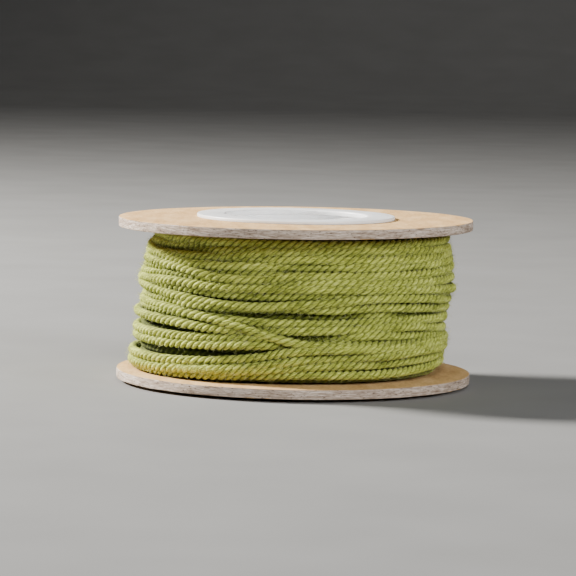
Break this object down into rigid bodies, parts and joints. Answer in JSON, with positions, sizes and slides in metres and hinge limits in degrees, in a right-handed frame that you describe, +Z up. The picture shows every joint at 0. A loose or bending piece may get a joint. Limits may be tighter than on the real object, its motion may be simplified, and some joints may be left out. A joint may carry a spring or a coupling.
{
  "type": "reel of twisted cord trim on a card-disc spool",
  "caption": "Low reel of three-ply twisted cord: a wound body with crossing turns between two kraft card discs on a flanged white plastic core.",
  "frame": {"origin": "middle of the reel's base, on the surface that the lower flange of the core stands on", "axes": "+Z up along the core's axis; -Y is the front of the picture, +X its right"},
  "size_m": [0.075, 0.075, 0.0356],
  "materials": {
    "core_plastic": "smooth moulded white plastic with a soft sheen",
    "kraft_card": "kraft paper face on cut grey board",
    "cord_yarn": "soft matt twisted yarn, lightly fuzzy"
  },
  "bodies": {
    "root": {"core_lower": "core_plastic", "core_upper": "core_plastic", "disc_lower": "kraft_card", "disc_upper": "kraft_card", "wound_cord": "cord_yarn"}
  },
  "joints": []
}
